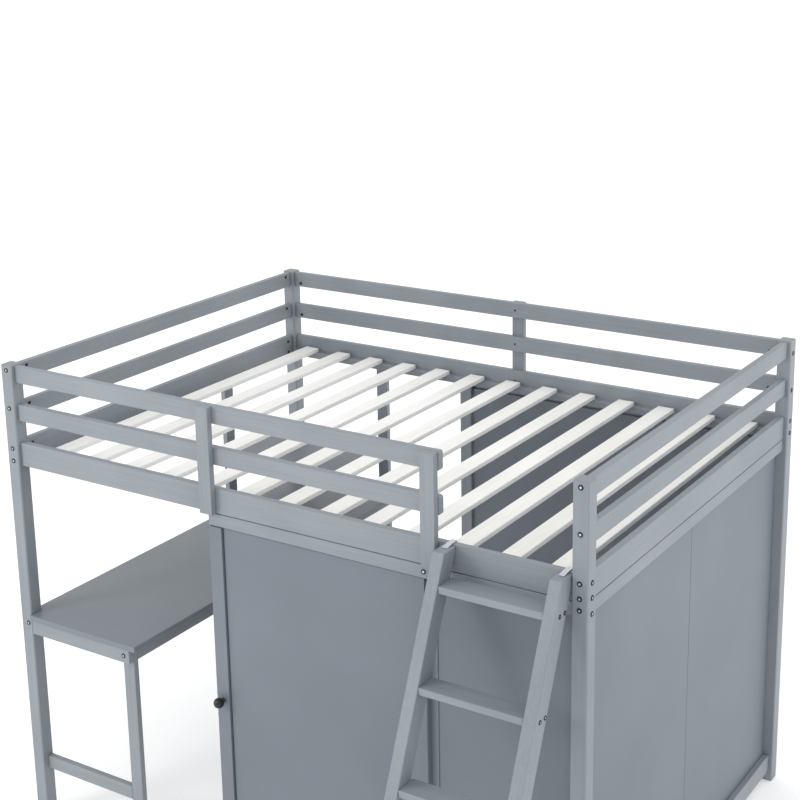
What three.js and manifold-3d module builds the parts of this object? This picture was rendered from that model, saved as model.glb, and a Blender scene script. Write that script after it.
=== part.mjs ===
// Loft bed with a desk under its left end and a wardrobe under its right end, as a kit of boards.
// Millimetres, +Z up, +X along the bed to the right, -Y towards the front, where the ladder stands.
// The boards are first laid out from the front left corner of the posts, and then the whole group
// is moved so that the origin is under the middle of everything, on the floor.
import * as THREE from "three";
import { ConvexGeometry } from "three/addons/geometries/ConvexGeometry.js";
import { mergeVertices } from "three/addons/utils/BufferGeometryUtils.js";
import Module from "manifold-3d";

// Overall sizes
const bedLength = 2000;
const bedWidth = 1460;
const bedHeight = 1550;

// Stock that the kit is cut from
const postSize = 45;
const railThickness = 20;
const railInset = 13;
const boardWidth = 45;
const panelThickness = 10;
const edgeChamfer = 1.5;
const postChamfer = 3;
const touchGap = 0.3;
const weldDistance = 1e-4;
const arcSegments = 8;

// Guard rails and deck rails at the ends and sides, as heights below the post tops
const guardTopDrop = 4;
const guardHeight = 53;
const guardPitch = 122;
const deckRailDrop = 249;
const deckRailHeight = 76;
const guardBoardDrop = 5;

// Front guard: where its two boards stand, and how far its rails run past the right one
const guardLeftBoardX = 773;
const guardRailEnd = 4;
const guardLadderGap = 12.5;
const guardEndRadius = 7;

// Slatted deck
const slatCount = 13;
const slatWidth = 57;
const slatThickness = 15;
const slatFirst = 127.6;
const slatEndGap = 12;
const ledgeDepth = 22;
const ledgeHeight = 25;

// Desk and its shelf
const deskHeight = 729;
const deskTopThickness = 18;
const deskRight = 484;
const deskLeft = 20;
const deskFrontOverhang = 7;
const apronHeight = 48;
const apronOverhang = 30;
const deskRailHeight = 60;
const legWidth = 44;
const stretcherTop = 222;
const stretcherHeight = 45;
const shelfHeight = 950;
const shelfThickness = 18;
const shelfDepth = 421.7;
const shelfSideGap = 20;

// Wardrobe
const closetWidth = 1213;
const closetRailHeight = 38;
const closetRailGap = 2;
const plinthDrop = 37;
const plinthHeight = 60;
const frontPostLap = 19;
const rearPostDepth = 42;
const panelTopLap = 28;
const panelGroove = 1.2;

// Door, its hinge and its knob
const doorWidth = 724;
const doorGap = 3;
const doorBottom = 12;
const doorThickness = 19;
const stileProud = 7;
const stileGroove = 3.5;
const stileGrooveDepth = 6;
const hingeRadius = 4;
const hingeLeaf = 2;
const hingeLeafWidth = 26;
const hingeOffset = 5;
const hingeMargin = 70;
const knobHeight = 637;
const knobReach = 21;
const knobRadius = 16;
const knobNeckRadius = 6;
const knobFootRadius = 8;
const knobFootEdge = 1.5;
const knobRings = 8;
const knobSides = 20;

// Ladder
const ladderWidth = 372.5;
const ladderPostGap = 3;
const ladderStile = 35;
const ladderDepth = 57;
const ladderLean = THREE.MathUtils.degToRad(22.8);
const ladderTopDrop = 252;
const ladderWallGap = 2;
const plumbCut = 14;
const stepCount = 5;
const stepTopDrop = 329;
const lowestStep = 273;
const stepThickness = 20;
const stepDepth = 68;

// Planes and edges that several pieces share
const railFront = railInset;
const railBack = railInset + railThickness;
const innerRight = bedLength - postSize;
const innerRear = bedWidth - postSize;
const rearRailFront = bedWidth - railBack;
const rearRailBack = bedWidth - railFront;
const deckTop = bedHeight - deckRailDrop;
const deckBottom = deckTop - deckRailHeight;
const closetRailTop = deckBottom - closetRailGap;
const closetRailBottom = closetRailTop - closetRailHeight;
const closetLeft = bedLength - closetWidth;
const doorRight = closetLeft + doorWidth;
const ladderRight = innerRight - ladderPostGap;
const ladderLeft = ladderRight - ladderWidth;
const guardRight = ladderLeft - guardLadderGap;

const paint = { color: 0x8b9196, roughness: 0.55, metalness: 0 };
const whitewash = { color: 0xe6e4dd, roughness: 0.7, metalness: 0 };
const paintedSteel = { color: 0x868c91, roughness: 0.45, metalness: 0 };
const blackEnamel = { color: 0x17181a, roughness: 0.35, metalness: 0 };

const wasm = await Module();
wasm.setup();

const bed = new THREE.Group();

function add(name, geometry, finish, x = 0, y = 0, z = 0) {
  const mesh = new THREE.Mesh(geometry, new THREE.MeshStandardMaterial(finish));
  mesh.name = name;
  mesh.position.set(x, y, z);
  bed.add(mesh);
  return mesh;
}

// A block between two corners, with every edge taken off by the same chamfer.
function block([x0, y0, z0], [x1, y1, z1], chamfer = edgeChamfer) {
  const points = [];
  for (const [x, inX] of [[x0, chamfer], [x1, -chamfer]]) {
    for (const [y, inY] of [[y0, chamfer], [y1, -chamfer]]) {
      for (const [z, inZ] of [[z0, chamfer], [z1, -chamfer]]) {
        points.push(new THREE.Vector3(x, y + inY, z + inZ));
        points.push(new THREE.Vector3(x + inX, y, z + inZ));
        points.push(new THREE.Vector3(x + inX, y + inY, z));
      }
    }
  }
  return new ConvexGeometry(points);
}

function board(name, low, high, finish = paint, chamfer = edgeChamfer) {
  return add(name, block(low, high, chamfer), finish);
}

function solid(geometry) {
  const bare = geometry.clone();
  bare.deleteAttribute("normal");
  bare.deleteAttribute("uv");
  const merged = mergeVertices(bare, weldDistance);
  const triVerts = merged.index
    ? new Uint32Array(merged.index.array)
    : Uint32Array.from({ length: merged.attributes.position.count }, (_, i) => i);
  return new wasm.Manifold(
    new wasm.Mesh({ numProp: 3, vertProperties: merged.attributes.position.array, triVerts }),
  );
}

// Blocks that are glued together at the works and delivered as one piece.
function glued(geometries) {
  const whole = geometries.map(solid).reduce((sum, piece) => sum.add(piece));
  const mesh = whole.getMesh();
  const geometry = new THREE.BufferGeometry();
  geometry.setAttribute("position", new THREE.BufferAttribute(mesh.vertProperties, 3));
  geometry.setIndex(new THREE.BufferAttribute(mesh.triVerts, 1));
  return geometry;
}

// An outline in the floor plane raised to a height.
function upright(shape, height) {
  return new THREE.ExtrudeGeometry(shape, { depth: height, bevelEnabled: false, curveSegments: arcSegments });
}

function addPosts() {
  const corners = {
    post_front_left: [0, 0],
    post_front_right: [innerRight, 0],
    post_rear_left: [0, innerRear],
    post_rear_right: [innerRight, innerRear],
  };
  for (const [name, [x, y]] of Object.entries(corners)) {
    board(name, [x, y, 0], [x + postSize, y + postSize, bedHeight], paint, postChamfer);
  }
}

// The three levels of rail, as [word, top, height].
const levels = [
  ["guard_rail_top", bedHeight - guardTopDrop, guardHeight],
  ["guard_rail_middle", bedHeight - guardTopDrop - guardPitch, guardHeight],
  ["deck_rail", deckTop, deckRailHeight],
];

function addEndRails() {
  const ends = { left: railFront, right: bedLength - railBack };
  for (const [side, x] of Object.entries(ends)) {
    for (const [word, top, height] of levels) {
      board(
        `${side}_${word}`,
        [x, postSize + touchGap, top - height],
        [x + railThickness, innerRear - touchGap, top],
      );
    }
  }
}

// A deck rail along the bed carries a ledge strip on its inner face for the slat ends.
function deckRail(name, y, ledgeY) {
  const rail = block(
    [postSize + touchGap, y, deckBottom],
    [innerRight - touchGap, y + railThickness, deckTop],
  );
  const ledge = block(
    [postSize + touchGap, ledgeY, deckBottom],
    [innerRight - touchGap, ledgeY + ledgeDepth + edgeChamfer * 2, deckBottom + ledgeHeight],
  );
  add(name, glued([rail, ledge]), paint);
}

function addSideRails() {
  deckRail("front_deck_rail", railFront, railBack - edgeChamfer * 2);
  deckRail("rear_deck_rail", rearRailFront, rearRailFront - ledgeDepth);
  for (const [word, top, height] of levels.slice(0, 2)) {
    board(
      `rear_${word}`,
      [postSize + touchGap, rearRailFront, top - height],
      [innerRight - touchGap, rearRailBack, top],
    );
  }
}

// The front guard stops short of the ladder, so its rails have rounded right-hand corners.
function addFrontGuard() {
  const left = postSize + touchGap;
  const right = guardRight;
  for (const [word, top, height] of levels.slice(0, 2)) {
    const outline = new THREE.Shape();
    outline.moveTo(left, 0);
    outline.lineTo(right - guardEndRadius, 0);
    outline.absarc(right - guardEndRadius, guardEndRadius, guardEndRadius, -Math.PI / 2, 0);
    outline.absarc(right - guardEndRadius, height - guardEndRadius, guardEndRadius, 0, Math.PI / 2);
    outline.lineTo(left, height);
    const rail = new THREE.ExtrudeGeometry(outline, {
      depth: railThickness - 2 * edgeChamfer,
      bevelThickness: edgeChamfer,
      bevelSize: edgeChamfer,
      bevelOffset: -edgeChamfer,
      bevelSegments: 1,
      curveSegments: arcSegments / 2,
    });
    rail.rotateX(Math.PI / 2);
    add(`front_${word}`, rail, paint, 0, railBack - edgeChamfer, top - height);
  }
  const boards = { left: guardLeftBoardX, right: guardRight - guardRailEnd - boardWidth };
  for (const [side, x] of Object.entries(boards)) {
    board(
      `guard_board_${side}`,
      [x, railFront - touchGap - railThickness, deckBottom],
      [x + boardWidth, railFront - touchGap, bedHeight - guardBoardDrop],
    );
  }
}

function addRearLeg() {
  const left = (bedLength - boardWidth) / 2;
  const front = rearRailBack + touchGap;
  board(
    "rear_middle_leg",
    [left, front, 0],
    [left + boardWidth, front + railThickness, bedHeight - guardBoardDrop],
  );
}

function addSlats() {
  const bottom = deckBottom + ledgeHeight + touchGap;
  const pitch = (bedLength - 2 * slatFirst) / (slatCount - 1);
  for (let i = 0; i < slatCount; i++) {
    const middle = slatFirst + i * pitch;
    board(
      `slat_${String(i + 1).padStart(2, "0")}`,
      [middle - slatWidth / 2, railBack + slatEndGap, bottom],
      [middle + slatWidth / 2, rearRailFront - slatEndGap, bottom + slatThickness],
      whitewash,
    );
  }
}

const apronRight = deskRight - apronOverhang;
const apronTop = deskHeight - deskTopThickness - touchGap;
const legLeft = apronRight - legWidth;
const legBack = railThickness + touchGap + railThickness;

// The desk top reaches past the posts to the left, so it is notched round both of them.
function addDeskTop() {
  const rear = rearRailFront - touchGap;
  const notchX = postSize + touchGap;
  const outline = new THREE.Shape([
    new THREE.Vector2(notchX, -deskFrontOverhang),
    new THREE.Vector2(deskRight, -deskFrontOverhang),
    new THREE.Vector2(deskRight, rear),
    new THREE.Vector2(notchX, rear),
    new THREE.Vector2(notchX, innerRear - touchGap),
    new THREE.Vector2(deskLeft, innerRear - touchGap),
    new THREE.Vector2(deskLeft, postSize + touchGap),
    new THREE.Vector2(notchX, postSize + touchGap),
  ]);
  const top = new THREE.ExtrudeGeometry(outline, {
    depth: deskTopThickness - 2 * edgeChamfer,
    bevelThickness: edgeChamfer,
    bevelSize: edgeChamfer,
    bevelOffset: -edgeChamfer,
    bevelSegments: 1,
  });
  add("desk_top", top, paint, 0, 0, deskHeight - deskTopThickness + edgeChamfer);
}

function addDeskFrame() {
  board(
    "desk_front_apron",
    [postSize + touchGap, 0, apronTop - apronHeight],
    [apronRight, railThickness, apronTop],
  );
  board(
    "desk_right_apron",
    [apronRight - railThickness, legBack + touchGap, apronTop - apronHeight],
    [apronRight, rearRailFront - touchGap, apronTop],
  );
  board(
    "desk_left_rail",
    [deskLeft, postSize + touchGap, apronTop - deskRailHeight],
    [deskLeft + railThickness, innerRear - touchGap, apronTop],
  );
  board(
    "desk_front_leg",
    [legLeft, railThickness + touchGap, 0],
    [apronRight, legBack, apronTop],
  );
  board(
    "desk_stretcher",
    [postSize + touchGap, railThickness + touchGap, stretcherTop - stretcherHeight],
    [legLeft - touchGap, legBack, stretcherTop],
  );
  board(
    "desk_rear_leg",
    [legLeft, rearRailFront, 0],
    [apronRight, rearRailBack, deckBottom - touchGap],
  );
}

function addShelf() {
  const shelfRear = rearRailFront - touchGap;
  const shelfFront = shelfRear - shelfDepth;
  board(
    "shelf_side_board",
    [railFront, shelfFront, deskHeight + touchGap],
    [railFront + railThickness, shelfFront + boardWidth, deckBottom - touchGap],
  );
  board(
    "desk_shelf",
    [postSize + touchGap, shelfFront, shelfHeight - shelfThickness],
    [apronRight + shelfSideGap, shelfRear, shelfHeight],
  );
}

const frontPanelLeft = doorRight - frontPostLap;
const sidePanelOuter = bedLength - railBack - touchGap;
const rearPanelBack = rearRailFront - touchGap;
const panelTop = closetRailTop - closetRailHeight + panelTopLap;
const plinthTop = plinthDrop + plinthHeight;

function addWardrobeFrame() {
  board(
    "closet_front_top_rail",
    [closetLeft, railFront, closetRailBottom],
    [innerRight - touchGap, railBack, closetRailTop],
  );
  const sideBack = bedLength - railFront;
  const sideFront = bedLength - railBack;
  board(
    "closet_side_top_rail",
    [sideFront, postSize + touchGap, closetRailBottom],
    [sideBack, innerRear - touchGap, closetRailTop],
  );
  board(
    "closet_side_bottom_rail",
    [sideFront, postSize + touchGap, plinthDrop],
    [sideBack, innerRear - touchGap, plinthTop],
  );
  const rearPost = block(
    [closetLeft, rearRailBack - rearPostDepth, 0],
    [closetLeft + boardWidth, rearRailBack, closetRailTop],
  );
  const rearTop = block(
    [closetLeft + boardWidth / 2, rearRailFront, closetRailBottom],
    [innerRight - touchGap, rearRailBack - touchGap, closetRailTop - touchGap],
  );
  const rearBottom = block(
    [closetLeft + boardWidth / 2, rearRailFront, plinthDrop],
    [innerRight - touchGap, rearRailBack - touchGap, plinthTop],
  );
  add("closet_rear_frame", glued([rearPost, rearTop, rearBottom]), paint);
  const postFront = railBack + touchGap + panelThickness + touchGap;
  board(
    "closet_front_post",
    [frontPanelLeft, postFront, 0],
    [frontPanelLeft + boardWidth, postFront + postSize, closetRailTop],
  );
}

function addWardrobePanels() {
  board(
    "closet_front_panel",
    [frontPanelLeft, railBack + touchGap, plinthDrop],
    [innerRight - touchGap, railBack + touchGap + panelThickness, panelTop],
  );
  const seam = bedWidth / 2;
  const front = Math.max(postSize, railBack + touchGap + panelThickness) + touchGap;
  const rear = Math.min(innerRear, rearPanelBack - panelThickness) - touchGap;
  const halves = {
    front: [front, seam - panelGroove / 2],
    rear: [seam + panelGroove / 2, rear],
  };
  for (const [half, [near, far]] of Object.entries(halves)) {
    board(
      `closet_side_panel_${half}`,
      [sidePanelOuter - panelThickness, near, plinthDrop],
      [sidePanelOuter, far, panelTop],
    );
  }
  board(
    "closet_rear_panel",
    [closetLeft + boardWidth + doorGap, rearPanelBack - panelThickness, plinthDrop],
    [innerRight - touchGap, rearPanelBack, panelTop],
  );
}

// The door is one glued leaf: a thicker stile on the left, and a panel that reaches to the hinge.
const doorFront = railFront;
const doorPanelFront = doorFront + stileProud;
const hingeX = doorRight + hingeOffset;
const hingeY = doorFront + hingeRadius;
const doorTop = closetRailBottom - doorGap;

function addDoor() {
  const profile = new THREE.Shape([
    new THREE.Vector2(closetLeft, doorFront),
    new THREE.Vector2(closetLeft + boardWidth, doorFront),
    new THREE.Vector2(closetLeft + boardWidth, doorPanelFront + stileGrooveDepth),
    new THREE.Vector2(closetLeft + boardWidth + stileGroove, doorPanelFront + stileGrooveDepth),
    new THREE.Vector2(closetLeft + boardWidth + stileGroove, doorPanelFront),
    new THREE.Vector2(doorRight, doorPanelFront),
    new THREE.Vector2(doorRight, doorFront + doorThickness),
    new THREE.Vector2(closetLeft, doorFront + doorThickness),
  ]);
  const leaf = new THREE.ExtrudeGeometry(profile, {
    depth: doorTop - doorBottom - 2 * edgeChamfer,
    bevelThickness: edgeChamfer,
    bevelSize: edgeChamfer,
    bevelOffset: -edgeChamfer,
    bevelSegments: 1,
  });
  add("door_leaf", leaf, paint, 0, 0, doorBottom + edgeChamfer);
}

// The hinge runs nearly the height of the door: a barrel, and a leaf bent back to the fixed panel.
function addHinge() {
  const webX = hingeX + hingeRadius - hingeLeaf;
  const webAngle = Math.acos((webX - hingeX) / hingeRadius);
  const leafBack = railBack;
  const section = new THREE.Shape();
  section.moveTo(hingeX + hingeRadius, hingeY);
  section.absarc(hingeX, hingeY, hingeRadius, 0, webAngle, true);
  section.lineTo(webX, leafBack);
  section.lineTo(webX + hingeLeafWidth, leafBack);
  section.lineTo(webX + hingeLeafWidth, leafBack - hingeLeaf);
  section.lineTo(hingeX + hingeRadius, leafBack - hingeLeaf);
  const height = doorTop - doorBottom - 2 * hingeMargin;
  add("door_hinge", upright(section, height), paintedSteel, 0, 0, doorBottom + hingeMargin);
}

function addKnob() {
  const reach = knobReach + knobRadius;
  const profile = [new THREE.Vector2(0, 0), new THREE.Vector2(knobFootRadius, 0)];
  profile.push(new THREE.Vector2(knobFootRadius, knobFootEdge));
  const start = Math.PI - Math.asin(knobNeckRadius / knobRadius);
  for (let i = 0; i < knobRings; i++) {
    const angle = start * (1 - i / knobRings);
    const y = knobReach + knobRadius * Math.cos(angle);
    profile.push(new THREE.Vector2(knobRadius * Math.sin(angle), y));
  }
  profile.push(new THREE.Vector2(0, reach));
  const knob = new THREE.LatheGeometry(profile, knobSides);
  knob.rotateX(Math.PI);
  const x = closetLeft + boardWidth / 2;
  add("door_knob", knob, blackEnamel, x, doorFront - touchGap, knobHeight);
}

// The ladder leans on the front deck rail. Its stiles are cut level at the floor and at the top,
// and plumb where they meet the rail.
const ladderTop = bedHeight - ladderTopDrop;
const ladderRest = railFront - ladderWallGap;
const slope = Math.tan(ladderLean);
const ladderRun = ladderDepth / Math.cos(ladderLean);

function stileBack(z) {
  return ladderRest - slope * (ladderTop - plumbCut - z);
}

function addLadder() {
  const footBack = stileBack(0);
  const side = new THREE.Shape([
    new THREE.Vector2(footBack - ladderRun, 0),
    new THREE.Vector2(footBack, 0),
    new THREE.Vector2(ladderRest, ladderTop - plumbCut),
    new THREE.Vector2(ladderRest, ladderTop),
    new THREE.Vector2(stileBack(ladderTop) - ladderRun, ladderTop),
  ]);
  const stile = new THREE.ExtrudeGeometry(side, {
    depth: ladderStile - 2 * edgeChamfer,
    bevelThickness: edgeChamfer,
    bevelSize: edgeChamfer,
    bevelOffset: -edgeChamfer,
    bevelSegments: 1,
  });
  stile.rotateX(Math.PI / 2);
  stile.rotateZ(Math.PI / 2);
  add("ladder_stile_left", stile, paint, ladderLeft + edgeChamfer);
  add("ladder_stile_right", stile.clone(), paint, ladderRight - ladderStile + edgeChamfer);
  const highestStep = bedHeight - stepTopDrop;
  const pitch = (highestStep - lowestStep) / (stepCount - 1);
  for (let i = 0; i < stepCount; i++) {
    const top = highestStep - i * pitch;
    const front = stileBack(top) - ladderRun;
    board(
      `ladder_step_${i + 1}`,
      [ladderLeft + ladderStile + touchGap, front, top - stepThickness],
      [ladderRight - ladderStile - touchGap, front + stepDepth, top],
    );
  }
}

addPosts();
addEndRails();
addSideRails();
addFrontGuard();
addRearLeg();
addSlats();
addDeskTop();
addDeskFrame();
addShelf();
addWardrobeFrame();
addWardrobePanels();
addDoor();
addHinge();
addKnob();
addLadder();

// The middle of the floor plan: the posts set its sides, the ladder its front, the middle leg its rear.
const planFront = stileBack(0) - ladderRun;
const planRear = rearRailBack + touchGap + railThickness;
bed.position.set(-bedLength / 2, -(planFront + planRear) / 2, 0);

export default bed;
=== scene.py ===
# %% [markdown]
# # A painted loft bed with a desk, a ladder and a wardrobe
# The real bed is a flat-pack kit: square posts, boards bolted between them, thin panels behind the
# boards, and a leaning ladder. The solids of every board come ready made, so this lesson is about
# what a solid lacks: paint over pine, whitewashed slats, bolts with painted shade for their holes,
# and soft light.

# %% Load the frame and note its size
import math

import bmesh
import bpy
from mathutils import Matrix, Vector


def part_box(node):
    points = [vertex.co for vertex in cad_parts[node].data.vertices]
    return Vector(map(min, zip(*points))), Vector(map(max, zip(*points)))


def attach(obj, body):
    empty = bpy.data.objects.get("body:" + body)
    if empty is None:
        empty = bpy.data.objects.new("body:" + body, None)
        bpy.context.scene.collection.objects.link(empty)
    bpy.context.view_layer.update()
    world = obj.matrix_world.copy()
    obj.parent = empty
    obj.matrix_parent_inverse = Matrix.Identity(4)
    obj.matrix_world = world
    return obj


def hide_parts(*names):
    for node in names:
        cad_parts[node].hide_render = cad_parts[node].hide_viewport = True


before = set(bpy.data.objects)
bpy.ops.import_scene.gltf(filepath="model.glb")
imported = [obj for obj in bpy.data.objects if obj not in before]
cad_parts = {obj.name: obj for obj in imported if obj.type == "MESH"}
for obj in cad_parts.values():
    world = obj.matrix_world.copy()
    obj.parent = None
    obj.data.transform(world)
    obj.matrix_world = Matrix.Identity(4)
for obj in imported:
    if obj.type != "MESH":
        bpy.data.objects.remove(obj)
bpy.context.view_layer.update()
MM = 0.001

# %% [markdown]
# ## Three helpers
# Paint is sold by its screen colour, and a renderer wants linear light, so one function turns a hex
# value into linear numbers. One function adds any node with its settings and links, which keeps the
# trees short to read. One more turns an evaluated object into a plain mesh at the origin.

# %% Helpers for colours, nodes and meshes
def linear(hex_code):
    parts = [int(hex_code[i:i + 2], 16) / 255 for i in (1, 3, 5)]
    curve = [p / 12.92 if p <= 0.04045 else ((p + 0.055) / 1.055) ** 2.4 for p in parts]
    return (*curve, 1.0)


def put(tree, kind, settings=None, **inputs):
    """Adds a node. A key of inputs is a socket's name with _ for a space, or i and its number."""
    node = tree.nodes.new(kind)
    for key, value in (settings or {}).items():
        setattr(node, key, value)
    for key, value in inputs.items():
        numbered = key[0] == "i" and key[1:].isdigit()
        socket = node.inputs[int(key[1:])] if numbered else node.inputs[key.replace("_", " ")]
        if isinstance(value, bpy.types.NodeSocket):
            tree.links.new(value, socket)
        else:
            socket.default_value = value
    return node


def plain(obj, name):
    """The evaluated shape of obj as an object with no modifiers, and obj is removed."""
    bpy.context.view_layer.update()
    graph = bpy.context.evaluated_depsgraph_get()
    mesh = bpy.data.meshes.new_from_object(obj.evaluated_get(graph))
    mesh.name = name
    bpy.data.objects.remove(obj)
    piece = bpy.data.objects.new(name, mesh)
    bpy.context.scene.collection.objects.link(piece)
    return piece


PINE_LIGHT, PINE_DARK = "#8C9399", "#7F878D"
print("grey paint in linear light", [round(c, 3) for c in linear(PINE_LIGHT)])

# %% [markdown]
# ## The camera
# The bed is seen from its front right corner, from well above the guard rails, so that the slatted
# deck shows. The camera could be aimed at a target, but here its place is measured from the top of
# the front left post and its turn is given as azimuth, downward tilt and roll, as on a tripod.

# %% Place the camera
post_low, post_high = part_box("post_front_left")
corner = Vector((post_low.x, post_low.y, post_high.z))
EYE = Vector((3.567, -3.177, 1.361))
AZIMUTH, TILT, ROLL = (math.radians(a) for a in (31.81, 14.39, -0.64))
SENSOR, LENS = 36.0, 70.44
SHIFT_X, SHIFT_Y = -0.0555, -0.125
forward = Vector((
    -math.sin(AZIMUTH) * math.cos(TILT), math.cos(AZIMUTH) * math.cos(TILT), -math.sin(TILT),
))
level = Vector((math.cos(AZIMUTH), math.sin(AZIMUTH), 0))
upward = level.cross(forward)
right = level * math.cos(ROLL) + upward * math.sin(ROLL)
above = upward * math.cos(ROLL) - level * math.sin(ROLL)
camera_data = bpy.data.cameras.new("camera")
camera_data.sensor_width = SENSOR
camera_data.lens = LENS
camera_data.shift_x = SHIFT_X
camera_data.shift_y = SHIFT_Y
camera = bpy.data.objects.new("camera", camera_data)
bpy.context.scene.collection.objects.link(camera)
turn = Matrix((right, above, -forward)).transposed().to_4x4()
camera.matrix_world = Matrix.Translation(corner + EYE) @ turn
bpy.context.scene.camera = camera
print("camera at", [round(v, 3) for v in camera.location])

# %% [markdown]
# ## Floor and light
# A catalogue bed stands in a white room with light from everywhere. A white dome gives the even
# part. One lamp at the front left and a broader one at the right rear give the posts and steps a
# lit side and a shadow side. The near-white floor glows a little, which lifts the shadows on it.

# %% Build the floor, the dome and the lamps
def matte(name, colour, roughness):
    material = bpy.data.materials.new(name)
    material.use_nodes = True
    shader = material.node_tree.nodes["Principled BSDF"]
    shader.inputs["Base Color"].default_value = linear(colour)
    shader.inputs["Roughness"].default_value = roughness
    return material


FLOOR_HALF, FLOOR_GLOW = 60.0, 0.16
DOME_STRENGTH = 1.0
WHITE = (1, 1, 1, 1)
floor_mesh = bpy.data.meshes.new("floor")
floor_mesh.from_pydata(
    [(x, y, 0) for x, y in ((-1, -1), (1, -1), (1, 1), (-1, 1))], [], [(0, 1, 2, 3)]
)
floor_mesh.transform(Matrix.Scale(FLOOR_HALF, 4))
floor = bpy.data.objects.new("floor", floor_mesh)
floor_finish = matte("white studio floor", "#FCFCFC", 0.9)
floor_glow = floor_finish.node_tree.nodes["Principled BSDF"].inputs
floor_glow["Emission Color"].default_value = WHITE
floor_glow["Emission Strength"].default_value = FLOOR_GLOW
floor.data.materials.append(floor_finish)
bpy.context.scene.collection.objects.link(floor)

world = bpy.data.worlds.new("studio dome")
world.use_nodes = True
dome = world.node_tree.nodes["Background"].inputs
dome["Color"].default_value = WHITE
dome["Strength"].default_value = DOME_STRENGTH
bpy.context.scene.world = world
bpy.context.scene.view_settings.view_transform = "Standard"


def lamp(name, place, target, size, watts):
    data = bpy.data.lights.new(name, "AREA")
    data.size = size
    data.energy = watts
    obj = bpy.data.objects.new(name, data)
    direction = Vector(target) - Vector(place)
    turned = direction.to_track_quat("-Z", "Y").to_matrix().to_4x4()
    obj.matrix_world = Matrix.Translation(place) @ turned
    bpy.context.scene.collection.objects.link(obj)


lamp("key lamp", place=(-2.6, -3.4, 2.7), target=(0.2, -0.2, 0.8), size=1.2, watts=50)
lamp("side lamp", place=(5.6, 2.6, 2.4), target=(0.9, 0.2, 0.8), size=2.6, watts=48)

# %% [markdown]
# ## Grey paint on pine
# The posts and boards are knotty pine under two coats of grey satin paint. The paint hides the
# colour of the wood, but the grain still stands up a little along each board, so the bump and a
# faint change of tone run with the board. Noise stretched along the board gives that. The real
# grain is 2 to 4 mm wide; it is drawn 9 mm wide here, so that it shows at the size of a whole bed.

# %% Make the paint for boards that run along X, Y and Z
GRAIN_WIDTH, GRAIN_LENGTH = 9 * MM, 260 * MM
PATCH = 420 * MM
GRAIN_SHARE = 0.6
DARK_AT, LIGHT_AT = 0.58, 1.0
GLOSSIER, DULLER = 0.06, 0.08
PAINT_IOR = 1.5


def grain_scale(axis, width):
    return [1 / GRAIN_LENGTH if i == axis else 1 / width for i in range(3)]


def grained_paint(name, axis, light, dark, roughness, relief, width=GRAIN_WIDTH):
    material = bpy.data.materials.new(name)
    material.use_nodes = True
    tree = material.node_tree
    shader = tree.nodes["Principled BSDF"]
    where = put(tree, "ShaderNodeTexCoord").outputs["Object"]
    stretched = put(tree, "ShaderNodeMapping", Vector=where, Scale=grain_scale(axis, width)).outputs[0]
    grain = put(tree, "ShaderNodeTexNoise", Vector=stretched, Scale=1.0, Detail=4.0, Roughness=0.6)
    patches = put(tree, "ShaderNodeTexNoise", Vector=where, Scale=1 / PATCH, Detail=2.0)
    both = put(
        tree, "ShaderNodeMath", {"operation": "MULTIPLY_ADD"},
        i0=grain.outputs["Fac"], i1=GRAIN_SHARE, i2=patches.outputs["Fac"],
    )
    tone = put(tree, "ShaderNodeValToRGB", Fac=both.outputs[0])
    tone.color_ramp.elements[0].position = DARK_AT
    tone.color_ramp.elements[0].color = linear(dark)
    tone.color_ramp.elements[1].position = LIGHT_AT
    tone.color_ramp.elements[1].color = linear(light)
    sheen = put(
        tree, "ShaderNodeMapRange",
        Value=grain.outputs["Fac"], To_Min=roughness - GLOSSIER, To_Max=roughness + DULLER,
    )
    bump = put(
        tree, "ShaderNodeBump",
        Height=grain.outputs["Fac"], Strength=0.35, Distance=relief,
    )
    tree.links.new(tone.outputs["Color"], shader.inputs["Base Color"])
    tree.links.new(sheen.outputs[0], shader.inputs["Roughness"])
    tree.links.new(bump.outputs["Normal"], shader.inputs["Normal"])
    shader.inputs["IOR"].default_value = PAINT_IOR
    return material


AXES = "XYZ"
pine = [
    grained_paint(f"grey satin paint on pine {a}", i, PINE_LIGHT, PINE_DARK, 0.5, 1.2 * MM)
    for i, a in enumerate(AXES)
]
print("board paints", [m.name for m in pine])

# %% [markdown]
# ## Whitewashed slats
# The slats are soft spruce with a thin white stain. The stain lets the darker summer rings through
# as pale streaks, so the same stretched noise is used with more contrast and a matte surface.

# %% Make the slat finish
SLAT_GRAIN = 13 * MM
slat_finish = grained_paint(
    "white stain on spruce", AXES.index("Y"), "#FBFBF9", "#EFEEEA", 0.66, 0.8 * MM, SLAT_GRAIN
)
print("slat finish", slat_finish.name)

# %% [markdown]
# ## Painted panels and tops
# The wardrobe walls, the door, the desk top and its shelf are fibreboard, rolled with a slightly
# darker grey paint. Rolling leaves a fine orange peel and no grain. The peel is about 3 mm across
# and far too shallow to see as a shape, so a weak bump and a slow change of tone are enough.

# %% Make the panel paint
PEEL, PEEL_DEPTH = 3 * MM, 0.4 * MM
PATCH_DARK_AT, PATCH_LIGHT_AT = 0.3, 0.7


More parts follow.
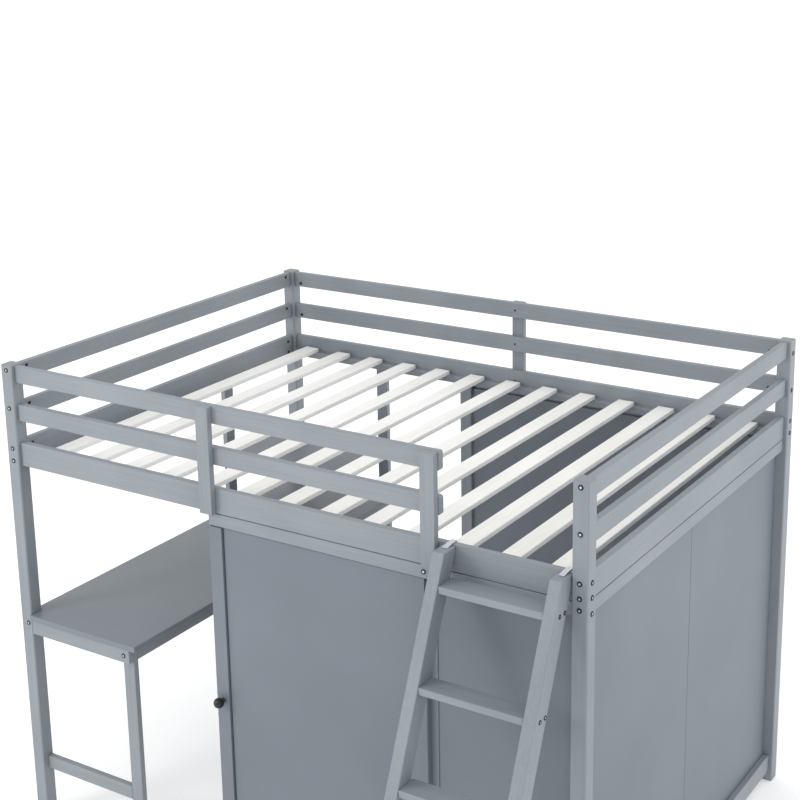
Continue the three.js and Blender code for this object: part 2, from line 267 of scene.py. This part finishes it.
def rolled_paint(name, light, dark, roughness):
    material = bpy.data.materials.new(name)
    material.use_nodes = True
    tree = material.node_tree
    shader = tree.nodes["Principled BSDF"]
    where = put(tree, "ShaderNodeTexCoord").outputs["Object"]
    patches = put(tree, "ShaderNodeTexNoise", Vector=where, Scale=1 / PATCH, Detail=3.0)
    peel = put(tree, "ShaderNodeTexNoise", Vector=where, Scale=1 / PEEL, Detail=1.0)
    tone = put(tree, "ShaderNodeValToRGB", Fac=patches.outputs["Fac"])
    tone.color_ramp.elements[0].position = PATCH_DARK_AT
    tone.color_ramp.elements[0].color = linear(dark)
    tone.color_ramp.elements[1].position = PATCH_LIGHT_AT
    tone.color_ramp.elements[1].color = linear(light)
    bump = put(tree, "ShaderNodeBump", Height=peel.outputs["Fac"], Strength=0.12, Distance=PEEL_DEPTH)
    tree.links.new(tone.outputs["Color"], shader.inputs["Base Color"])
    tree.links.new(bump.outputs["Normal"], shader.inputs["Normal"])
    shader.inputs["Roughness"].default_value = roughness
    shader.inputs["IOR"].default_value = PAINT_IOR
    return material


panel_paint = rolled_paint("grey satin paint on fibreboard", "#717982", "#6A727B", 0.46)
top_paint = rolled_paint("grey satin paint on worktop", "#777E85", "#70777E", 0.42)
print("panel paints", panel_paint.name, "|", top_paint.name)

# %% [markdown]
# ## Metal
# The bolt heads and the ladder's hooks are zinc-plated steel, which is pale and slightly blurred.
# Each bolt sits in a drilled hole. The hole's shade is painted as a dark ring around the head, in the
# same near-black finish as the barrel nuts and screws, which are blackened steel. The knob is black
# satin enamel. Every metal gets a fine uneven roughness from a small noise, because no plating or
# enamel is perfectly even.

# %% Make the metals
def metal(name, colour, metallic, low, high, grit):
    material = bpy.data.materials.new(name)
    material.use_nodes = True
    tree = material.node_tree
    shader = tree.nodes["Principled BSDF"]
    where = put(tree, "ShaderNodeTexCoord").outputs["Object"]
    speckle = put(tree, "ShaderNodeTexNoise", Vector=where, Scale=1 / grit, Detail=2.0)
    blur = put(tree, "ShaderNodeMapRange", Value=speckle.outputs["Fac"], To_Min=low, To_Max=high)
    tree.links.new(blur.outputs[0], shader.inputs["Roughness"])
    shader.inputs["Base Color"].default_value = linear(colour)
    shader.inputs["Metallic"].default_value = metallic
    return material


PLATING_GRIT, ENAMEL_GRIT = 1.5 * MM, 4 * MM
zinc = metal("zinc-plated steel", "#C9CCD0", 1.0, 0.22, 0.42, PLATING_GRIT)
# This dark finish is blackened steel on the nuts and screws, and painted shade on the rings that stand
# for the bolts' holes.
dark_steel_and_hole_shade = metal("blackened steel and painted hole shade", "#101112", 0.0, 0.5, 0.66, PLATING_GRIT)
enamel = metal("black satin enamel", "#141517", 0.0, 0.22, 0.34, ENAMEL_GRIT)
print("metals", zinc.name, "|", dark_steel_and_hole_shade.name, "|", enamel.name)

# %% [markdown]
# ## Dress the boards
# Every solid that came with the frame keeps its shape and gets its finish. A board's grain runs
# along its longest side, so its box says which of the three paints it takes. The long hinge was
# painted over with the panels, so it takes their finish.

# %% Give each solid its finish
PANELS = (
    "closet_front_panel", "closet_rear_panel", "closet_side_panel_front", "closet_side_panel_rear",
    "door_leaf", "door_hinge",
)
TOPS = ("desk_top", "desk_shelf")


def finish_of(name):
    low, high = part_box(name)
    size = high - low
    if name.startswith("slat_"):
        return slat_finish
    if name in PANELS:
        return panel_paint
    if name in TOPS:
        return top_paint
    if name == "door_knob":
        return enamel
    return pine[max(range(3), key=lambda i: size[i])]


for name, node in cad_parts.items():
    node.data.materials.clear()
    node.data.materials.append(finish_of(name))
print("dressed", len(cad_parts), "solids")

# %% [markdown]
# ## Bolts, painted hole shade and barrel nuts
# They repeat nearly a hundred times, so two Geometry Nodes trees make them from a cloud of points:
# one puts a disc with a hexagon socket at each point, the other a dark ring around it. The ring is
# painted shade that stands for the inside of the bolt's hole. The points carry the direction that
# each bolt faces. Instances are realized, because an exported model has no use for them.

# %% Where the bolts go
TALL_BOARD = 70 * MM
FROM_TALL_TOP, FROM_TALL_BOTTOM = 20 * MM, 16 * MM
FROM_EDGE = 13 * MM
RAIL_THICKNESS = 20 * MM
NUT_FROM_END = 28 * MM
RAILS = ("guard_rail_top", "guard_rail_middle", "deck_rail")

bolts = {"frame": [], "ladder": []}
nuts = []
screws = []


def bolt_heights(low, high):
    """A tall board takes two bolts, and a narrow one takes one bolt."""
    if high.z - low.z > TALL_BOARD:
        return [high.z - FROM_TALL_TOP, low.z + FROM_TALL_BOTTOM]
    return [high.z - FROM_EDGE]


def end_board_bolts(name, posts):
    """Bolts through the posts' front and rear faces into a board that runs along Y."""
    low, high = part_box(name)
    middle = (low.x + high.x) / 2
    inner = high.x if middle < 0 else low.x
    inward = Vector((1 if middle < 0 else -1, 0, 0))
    for post, outward, end in zip(posts, (-1, 1), (low.y, high.y)):
        post_low, post_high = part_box(post)
        face = post_low.y if outward < 0 else post_high.y
        for z in bolt_heights(low, high):
            bolts["frame"].append((Vector((middle, face, z)), Vector((0, outward, 0))))
            nuts.append((Vector((inner, end - outward * NUT_FROM_END, z)), inward))


def side_board_bolts(name, posts, rear):
    """Bolts through the posts' end faces into a board that runs along X."""
    low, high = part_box(name)
    tall = high.z - low.z > TALL_BOARD
    heights = bolt_heights(low, high) if tall else [low.z + FROM_EDGE]
    thickness = min(high.y - low.y, RAIL_THICKNESS)
    middle = high.y - thickness / 2 if rear else low.y + thickness / 2
    inner = high.y - thickness if rear else low.y + thickness
    for post in posts:
        post_low, post_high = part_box(post)
        outward = -1 if post_low.x < 0 else 1
        face = post_low.x if outward < 0 else post_high.x
        end = low.x if outward < 0 else high.x
        for z in heights:
            bolts["frame"].append((Vector((face, middle, z)), Vector((outward, 0, 0))))
            if not tall:
                place = Vector((end - outward * NUT_FROM_END, inner, z))
                nuts.append((place, Vector((0, -1 if rear else 1, 0))))


def upright_bolt(upright, board):
    """One bolt through the front of a board into the upright behind it."""
    low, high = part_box(upright)
    board_low, board_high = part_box(board)
    place = Vector(((low.x + high.x) / 2, board_low.y, (board_low.z + board_high.z) / 2))
    bolts["frame"].append((place, Vector((0, -1, 0))))


for side in ("left", "right"):
    for word in RAILS:
        end_board_bolts(f"{side}_{word}", (f"post_front_{side}", f"post_rear_{side}"))
for word in RAILS:
    side_board_bolts(f"rear_{word}", ("post_rear_left", "post_rear_right"), True)
    front_posts = ["post_front_left"] + (["post_front_right"] if word == "deck_rail" else [])
    side_board_bolts(f"front_{word}", front_posts, False)
side_board_bolts("closet_front_top_rail", ("post_front_right",), False)
for name in ("closet_side_top_rail", "closet_side_bottom_rail"):
    end_board_bolts(name, ("post_front_right", "post_rear_right"))
end_board_bolts("desk_left_rail", ("post_front_left", "post_rear_left"))
upright_bolt("desk_front_leg", "desk_front_apron")
upright_bolt("closet_front_post", "closet_front_top_rail")
print("bolts", len(bolts["frame"]), "nuts", len(nuts))

# %% [markdown]
# ## Screws and ladder bolts
# The two guard boards and the middle leg are held by a screw through each rail that they cross, seen
# on the rail's inner face. A pair of bolts goes through each ladder stile into the end of each step.
# All of them could be placed by hand, but the boards' own boxes already say where they belong.

# %% Screws that hold the guard boards and the middle leg, and the ladder's bolts
UPRIGHTS = (
    ("guard_board_left", "front"), ("guard_board_right", "front"), ("rear_middle_leg", "rear"),
)
for rail in RAILS:
    for upright, row in UPRIGHTS:
        low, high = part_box(upright)
        board_low, board_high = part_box(f"{row}_{rail}")
        inward = 1 if row == "front" else -1
        outer_face = board_low.y if row == "front" else board_high.y
        inner_face = outer_face + inward * RAIL_THICKNESS
        place = Vector(((low.x + high.x) / 2, inner_face, (board_low.z + board_high.z) / 2))
        screws.append((place, Vector((0, inward, 0))))

PAIR = 26 * MM
LADDER_STEPS = 5
for step in range(1, LADDER_STEPS + 1):
    low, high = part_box(f"ladder_step_{step}")
    for stile, outward in (("left", -1), ("right", 1)):
        stile_low, stile_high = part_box(f"ladder_stile_{stile}")
        face = stile_low.x if outward < 0 else stile_high.x
        for shift in (-PAIR / 2, PAIR / 2):
            place = Vector((face, (low.y + high.y) / 2 + shift, (low.z + high.z) / 2))
            bolts["ladder"].append((place, Vector((outward, 0, 0))))
print("screws", len(screws), "ladder bolts", len(bolts["ladder"]))


# %% [markdown]
# ## Two trees for the hardware
# A head is a low disc with a hexagon cut into it, and the other shape is a ring of thin wire around
# it, which is painted shade for the bolt's hole. Each tree has named inputs for its sizes, so that
# bolts, nuts and screws share one shape. The copies could be linked objects, but the trees follow
# the points if a board moves.

# %% A tree that puts a socket head at every point
ROUND_SIDES, HEX_SIDES, WIRE_SIDES = 20, 6, 6
SOCKET_LIFT = 0.4


def new_tree(name, sizes):
    tree = bpy.data.node_groups.new(name, "GeometryNodeTree")
    tree.interface.new_socket("Points", in_out="INPUT", socket_type="NodeSocketGeometry")
    for label in sizes:
        tree.interface.new_socket(label, in_out="INPUT", socket_type="NodeSocketFloat")
    tree.interface.new_socket("Finish", in_out="INPUT", socket_type="NodeSocketMaterial")
    tree.interface.new_socket("Pieces", in_out="OUTPUT", socket_type="NodeSocketGeometry")
    return tree, tree.nodes.new("NodeGroupInput").outputs


def place_and_finish(tree, given, shape):
    """Turns the shape to face each point's direction, realizes the copies and gives the finish."""
    facing = put(tree, "GeometryNodeInputNamedAttribute", {"data_type": "FLOAT_VECTOR"}, Name="facing")
    turned = put(
        tree, "FunctionNodeAlignRotationToVector", {"axis": "Z"}, Vector=facing.outputs[0]
    )
    copies = put(
        tree, "GeometryNodeInstanceOnPoints",
        Points=given["Points"], Instance=shape, Rotation=turned.outputs[0],
    )
    real = put(tree, "GeometryNodeRealizeInstances", Geometry=copies.outputs[0])
    done = put(
        tree, "GeometryNodeSetMaterial", Geometry=real.outputs[0], Material=given["Finish"]
    )
    put(tree, "NodeGroupOutput", Pieces=done.outputs[0])
    return tree


def head_tree():
    tree, given = new_tree("socket heads", ("Radius", "Rise", "Socket"))
    disc = put(
        tree, "GeometryNodeMeshCylinder",
        Vertices=ROUND_SIDES, Radius=given["Radius"], Depth=given["Rise"],
    )
    hexagon = put(
        tree, "GeometryNodeMeshCylinder",
        Vertices=HEX_SIDES, Radius=given["Socket"], Depth=given["Rise"],
    )
    lift = put(tree, "ShaderNodeCombineXYZ", Z=given["Rise"])
    part = put(
        tree, "ShaderNodeMath", {"operation": "MULTIPLY"}, i0=given["Rise"], i1=SOCKET_LIFT
    )
    sink = put(tree, "ShaderNodeCombineXYZ", Z=part.outputs[0])
    raised = put(
        tree, "GeometryNodeTransform", Geometry=hexagon.outputs[0], Translation=sink.outputs[0]
    )
    cut = put(tree, "GeometryNodeMeshBoolean", {"operation": "DIFFERENCE"})
    tree.links.new(disc.outputs[0], cut.inputs["Mesh 1"])
    tree.links.new(raised.outputs[0], cut.inputs["Mesh 2"])
    seated = put(
        tree, "GeometryNodeTransform", Geometry=cut.outputs[0], Translation=lift.outputs[0]
    )
    return place_and_finish(tree, given, seated.outputs[0])


# The ring is painted shade: it stands for the dark inside of the hole that each bolt sits in.
def shade_ring_tree():
    tree, given = new_tree("bolt cups", ("Radius", "Wire"))
    circle = put(
        tree, "GeometryNodeCurvePrimitiveCircle", Resolution=ROUND_SIDES, Radius=given["Radius"]
    )
    wire = put(
        tree, "GeometryNodeCurvePrimitiveCircle", Resolution=WIRE_SIDES, Radius=given["Wire"]
    )
    ring = put(
        tree, "GeometryNodeCurveToMesh", Curve=circle.outputs[0], Profile_Curve=wire.outputs[0]
    )
    return place_and_finish(tree, given, ring.outputs[0])


heads, shade_rings = head_tree(), shade_ring_tree()
print("trees", heads.name, len(heads.nodes), "|", shade_rings.name, len(shade_rings.nodes))

# %% [markdown]
# ## Grow the hardware
# Each cloud of points becomes one mesh for each body, so that the ladder's bolts leave with the
# ladder. The ladder's bolts are smaller than the frame's.

# %% Grow the hardware from its points
def grow(name, places, tree, sizes, finish, body):
    mesh = bpy.data.meshes.new(name)
    mesh.from_pydata([p for p, _ in places], [], [])
    facing = mesh.attributes.new("facing", "FLOAT_VECTOR", "POINT")
    facing.data.foreach_set("vector", [c for _, direction in places for c in direction])
    cloud = bpy.data.objects.new(name + "_points", mesh)
    bpy.context.scene.collection.objects.link(cloud)
    modifier = cloud.modifiers.new("grow", "NODES")
    modifier.node_group = tree
    for item in tree.interface.items_tree:
        if item.in_out == "INPUT" and item.name in sizes:
            modifier[item.identifier] = sizes[item.name]
        if item.in_out == "INPUT" and item.name == "Finish":
            modifier[item.identifier] = finish
    piece = plain(cloud, name)
    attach(piece, body)
    print(name, len(places), "pieces,", len(piece.data.polygons), "faces")


bolt_size = {"Radius": 3.2 * MM, "Rise": 1.0 * MM, "Socket": 1.6 * MM}
shade_ring_size = {"Radius": 5.1 * MM, "Wire": 2.4 * MM}
nut_size = {"Radius": 5.8 * MM, "Rise": 0.6 * MM, "Socket": 2.4 * MM}
screw_size = {"Radius": 3.6 * MM, "Rise": 0.8 * MM, "Socket": 1.9 * MM}
grow("frame_bolt_heads", bolts["frame"], heads, bolt_size, zinc, "frame")
# Painted shade: a dark ring around each frame bolt head stands for the shadow inside its hole.
grow("frame_bolt_shade_rings", bolts["frame"], shade_rings, shade_ring_size, dark_steel_and_hole_shade, "frame")
grow("barrel_nuts", nuts, heads, nut_size, dark_steel_and_hole_shade, "frame")
grow("board_screws", screws, heads, screw_size, dark_steel_and_hole_shade, "frame")
small_bolt = {"Radius": 2.4 * MM, "Rise": 0.8 * MM, "Socket": 1.2 * MM}
small_shade_ring = {"Radius": 4.4 * MM, "Wire": 2.1 * MM}
grow("ladder_bolt_heads", bolts["ladder"], heads, small_bolt, zinc, "ladder")
# Painted shade: the same dark ring stands for the shadow inside each ladder bolt's hole.
grow("ladder_bolt_shade_rings", bolts["ladder"], shade_rings, small_shade_ring, dark_steel_and_hole_shade, "ladder")

# %% [markdown]
# ## Ladder hooks
# A strip of steel is screwed to the top of each ladder stile and bent over the deck rail, which
# keeps the ladder from sliding and lets it lift off. A bent strip is an outline pushed sideways, so
# it is extruded from its side view and its edges are softened with a bevel.

# %% Bend the two hooks
BEVEL_STEPS = 2


def extruded(name, outline, x_low, x_high, bevel, finish, body):
    """An outline in the Y-Z plane pushed along X, with softened edges."""
    shape = bmesh.new()
    corners = [shape.verts.new((x_low, y, z)) for y, z in outline]
    side = shape.faces.new(corners)
    far = bmesh.ops.extrude_face_region(shape, geom=[side])["geom"]
    moved = [v for v in far if isinstance(v, bmesh.types.BMVert)]
    bmesh.ops.translate(shape, verts=moved, vec=(x_high - x_low, 0, 0))
    bmesh.ops.recalc_face_normals(shape, faces=shape.faces)
    mesh = bpy.data.meshes.new(name)
    shape.to_mesh(mesh)
    shape.free()
    rough = bpy.data.objects.new(name + "_rough", mesh)
    bpy.context.scene.collection.objects.link(rough)
    soften = rough.modifiers.new("soften", "BEVEL")
    soften.width = bevel
    soften.segments = BEVEL_STEPS
    piece = plain(rough, name)
    piece.data.materials.append(finish)
    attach(piece, body)
    print(name, len(piece.data.polygons), "faces")


rail_low, rail_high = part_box("front_deck_rail")
STRIP, STRIP_HALF_WIDTH = 2.5 * MM, 8 * MM
STRIP_EDGE = 0.5 * MM
TAIL, DROP = 26 * MM, 24 * MM
CLEAR, ON_STILE = 0.6 * MM, 0.2 * MM
behind = rail_low.y + RAIL_THICKNESS + CLEAR
for side in ("left", "right"):
    stile_low, stile_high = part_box(f"ladder_stile_{side}")
    tail = stile_high.y - TAIL
    base = rail_high.z + CLEAR
    hook = [
        (tail, stile_high.z + ON_STILE), (tail, stile_high.z + STRIP),
        (stile_high.y, base + STRIP), (behind + STRIP, base + STRIP),
        (behind + STRIP, base - DROP), (behind, base - DROP), (behind, base),
        (stile_high.y + MM, base), (stile_high.y, stile_high.z + ON_STILE),
    ]
    middle = (stile_low.x + stile_high.x) / 2
    extruded(f"ladder_hook_{side}", hook, middle - STRIP_HALF_WIDTH, middle + STRIP_HALF_WIDTH,
             STRIP_EDGE, zinc, "ladder")

# %% [markdown]
# ## The knob
# The door has one round black knob on a short neck. It could be a sphere on a cylinder, but a
# turned knob has a foot that flares onto the wood, so its whole profile is spun in one piece.

# %% Turn the knob
knob_low, knob_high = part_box("door_knob")
knob_centre = (knob_low + knob_high) / 2
BALL = (knob_high.x - knob_low.x) / 2
reach = knob_high.y - knob_low.y
ball_at = reach - BALL
NECK, NECK_AT = 5.5 * MM, 4.2 * MM
FOOT_PROFILE = ((0, 0), (8, 0), (8, 0.8), (7.4, 1.8), (6.3, 3))
SPIN_STEPS, BALL_STEPS = 48, 16
SAME_POINT = 0.02 * MM
start = math.pi - math.asin(NECK / BALL)
profile = [(r * MM, along * MM) for r, along in FOOT_PROFILE] + [(NECK, NECK_AT)]
for i in range(BALL_STEPS + 1):
    angle = start * (1 - i / BALL_STEPS)
    profile.append((BALL * math.sin(angle), ball_at + BALL * math.cos(angle)))
turned = bmesh.new()
spun = [
    turned.verts.new((knob_centre.x + r, knob_high.y - along, knob_centre.z))
    for r, along in profile
]
edges = [turned.edges.new(pair) for pair in zip(spun, spun[1:])]
bmesh.ops.spin(
    turned, geom=spun + edges, cent=(knob_centre.x, 0, knob_centre.z), axis=(0, 1, 0),
    angle=2 * math.pi, steps=SPIN_STEPS,
)
bmesh.ops.remove_doubles(turned, verts=turned.verts, dist=SAME_POINT)
bmesh.ops.recalc_face_normals(turned, faces=turned.faces)
for face in turned.faces:
    face.smooth = True
knob_mesh = bpy.data.meshes.new("turned_knob")
turned.to_mesh(knob_mesh)
turned.free()
knob = bpy.data.objects.new("turned_knob", knob_mesh)
bpy.context.scene.collection.objects.link(knob)
knob.data.materials.append(enamel)
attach(knob, "door")
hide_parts("door_knob")
print("knob faces", len(knob_mesh.polygons))

# %% [markdown]
# ## The door's hinge leaf
# The long hinge has two leaves. One is on the fixed panel and came with the frame; the other is
# screwed to the edge of the door and turns with it. It is a thin strip, so it is extruded upright.

# %% Fix the moving leaf to the door's edge
_, door_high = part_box("door_leaf")
hinge_low, hinge_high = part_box("door_hinge")
LEAF, LEAF_EDGE = 0.9 * MM, 0.2 * MM
inner_edge, outer_edge = door_high.y - 1 * MM, door_high.y - 13 * MM
strip = [
    (outer_edge, hinge_low.z), (inner_edge, hinge_low.z),
    (inner_edge, hinge_high.z), (outer_edge, hinge_high.z),
]
extruded("door_hinge_leaf", strip, door_high.x, door_high.x + LEAF, LEAF_EDGE, panel_paint, "door")
